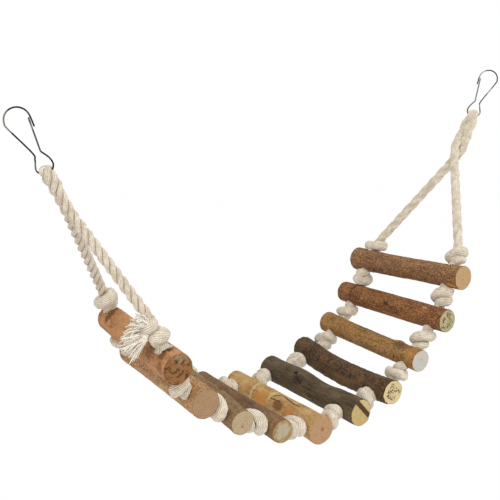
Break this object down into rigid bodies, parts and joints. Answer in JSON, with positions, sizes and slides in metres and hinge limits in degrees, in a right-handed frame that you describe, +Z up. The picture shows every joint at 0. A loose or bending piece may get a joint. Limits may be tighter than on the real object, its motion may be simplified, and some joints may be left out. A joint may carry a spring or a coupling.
{
  "type": "bird ladder",
  "caption": "Hanging ladder or bridge for cage birds: branch rungs strung on two runs of knotted cotton rope, with a wire snap hook at each end.",
  "frame": {"origin": "inside of the left hook's bow, where the hook hangs", "axes": "+X along the span from the left hook to the right hook, +Y along the rungs from the front run of rope to the rear run, +Z up"},
  "size_m": [0.445, 0.1257, 0.2836],
  "materials": {
    "cotton_rope": "twisted undyed cotton",
    "hook_wire": "plated wire",
    "light_bark": "natural bark, sawn ends",
    "pink_bark": "natural bark, sawn ends",
    "olive_bark": "natural bark, sawn ends",
    "purple_bark": "natural bark, sawn ends",
    "bare_wood": "debarked wood",
    "grey_bark": "natural bark, sawn ends",
    "dark_bark": "natural bark, sawn ends",
    "golden_bark": "natural bark, sawn ends",
    "red_bark": "natural bark, sawn ends",
    "brown_bark": "natural bark, sawn ends"
  },
  "bodies": {
    "hooks": {"left_hook": "hook_wire", "right_hook": "hook_wire"},
    "rope": {"frayed_end": "cotton_rope", "front_knot_1": "cotton_rope", "front_knot_2": "cotton_rope", "front_knot_3": "cotton_rope", "front_knot_4": "cotton_rope", "front_knot_5": "cotton_rope", "front_knot_6": "cotton_rope", "front_knot_7": "cotton_rope", "front_knot_8": "cotton_rope", "front_knot_9": "cotton_rope", "left_front_end_knot": "cotton_rope", "left_front_leg": "cotton_rope", "left_rear_end_knot": "cotton_rope", "left_rear_leg": "cotton_rope", "rear_knot_1": "cotton_rope", "rear_knot_2": "cotton_rope", "rear_knot_3": "cotton_rope", "rear_knot_4": "cotton_rope", "rear_knot_5": "cotton_rope", "rear_knot_6": "cotton_rope", "rear_knot_7": "cotton_rope", "rear_knot_8": "cotton_rope", "rear_knot_9": "cotton_rope", "right_front_end_knot": "cotton_rope", "right_front_leg": "cotton_rope", "right_rear_end_knot": "cotton_rope", "right_rear_leg": "cotton_rope"},
    "rung_01": {"rung_01": "light_bark"},
    "rung_02": {"rung_02": "pink_bark"},
    "rung_03": {"rung_03": "olive_bark"},
    "rung_04": {"rung_04": "purple_bark"},
    "rung_05": {"rung_05": "bare_wood"},
    "rung_06": {"rung_06": "grey_bark"},
    "rung_07": {"rung_07": "dark_bark"},
    "rung_08": {"rung_08": "golden_bark"},
    "rung_09": {"rung_09": "red_bark"},
    "rung_10": {"rung_10": "brown_bark"},
    "left_gate": {"left_hook_gate": "hook_wire"},
    "right_gate": {"right_hook_gate": "hook_wire"}
  },
  "joints": [
    {"name": "bridge_swing", "type": "hinge", "parent": "hooks", "child": "rope", "pos_m": [0.01929, -0.00088, -0.04001], "axis": [0.9968, 0, 0.0798], "range_deg": [-30, 30]},
    {"name": "rung_01_rock", "type": "hinge", "parent": "rope", "child": "rung_01", "pos_m": [0.07849, -0.00088, -0.16201], "axis": [0.0209, 0.9993, 0.0314], "range_deg": [-6, 6], "stiffness_Nm_per_rad": 0.05},
    {"name": "rung_02_rock", "type": "hinge", "parent": "rope", "child": "rung_02", "pos_m": [0.09955, -0.00088, -0.19343], "axis": [0, 0.9998, 0.0209], "range_deg": [-6, 6], "stiffness_Nm_per_rad": 0.05},
    {"name": "rung_03_rock", "type": "hinge", "parent": "rope", "child": "rung_03", "pos_m": [0.12821, -0.00088, -0.21133], "axis": [0.014, 0.9987, 0.0488], "range_deg": [-6, 6], "stiffness_Nm_per_rad": 0.05},
    {"name": "rung_04_rock", "type": "hinge", "parent": "rope", "child": "rung_04", "pos_m": [0.16198, -0.00088, -0.23056], "axis": [-0.0035, 1, -0.0052], "range_deg": [-6, 6], "stiffness_Nm_per_rad": 0.05},
    {"name": "rung_05_rock", "type": "hinge", "parent": "rope", "child": "rung_05", "pos_m": [0.19845, -0.00088, -0.2394], "axis": [0.0052, 0.9999, -0.0105], "range_deg": [-6, 6], "stiffness_Nm_per_rad": 0.05},
    {"name": "rung_06_rock", "type": "hinge", "parent": "rope", "child": "rung_06", "pos_m": [0.23534, -0.00088, -0.23366], "axis": [-0.0122, 0.9999, -0.0087], "range_deg": [-6, 6], "stiffness_Nm_per_rad": 0.05},
    {"name": "rung_07_rock", "type": "hinge", "parent": "rope", "child": "rung_07", "pos_m": [0.27043, -0.00088, -0.22451], "axis": [0.0157, 0.9998, 0.0122], "range_deg": [-6, 6], "stiffness_Nm_per_rad": 0.05},
    {"name": "rung_08_rock", "type": "hinge", "parent": "rope", "child": "rung_08", "pos_m": [0.30148, -0.00088, -0.2035], "axis": [0.0122, 0.9998, 0.0157], "range_deg": [-6, 6], "stiffness_Nm_per_rad": 0.05},
    {"name": "rung_09_rock", "type": "hinge", "parent": "rope", "child": "rung_09", "pos_m": [0.32622, -0.00088, -0.17489], "axis": [-0.0262, 0.9996, -0.014], "range_deg": [-6, 6], "stiffness_Nm_per_rad": 0.05},
    {"name": "rung_10_rock", "type": "hinge", "parent": "rope", "child": "rung_10", "pos_m": [0.34238, -0.00088, -0.1423], "axis": [-0.0401, 0.9983, -0.0419], "range_deg": [-6, 6], "stiffness_Nm_per_rad": 0.05},
    {"name": "left_gate_press", "type": "hinge", "parent": "hooks", "child": "left_gate", "pos_m": [0.01562, -0.00132, -0.0262], "axis": [-0.2408, -0.9659, -0.0949], "range_deg": [0, 18], "stiffness_Nm_per_rad": 0.02},
    {"name": "right_gate_press", "type": "hinge", "parent": "hooks", "child": "right_gate", "pos_m": [0.42147, 0.00042, 0.00547], "axis": [0.7127, 0.6428, -0.2808], "range_deg": [0, 18], "stiffness_Nm_per_rad": 0.02}
  ]
}
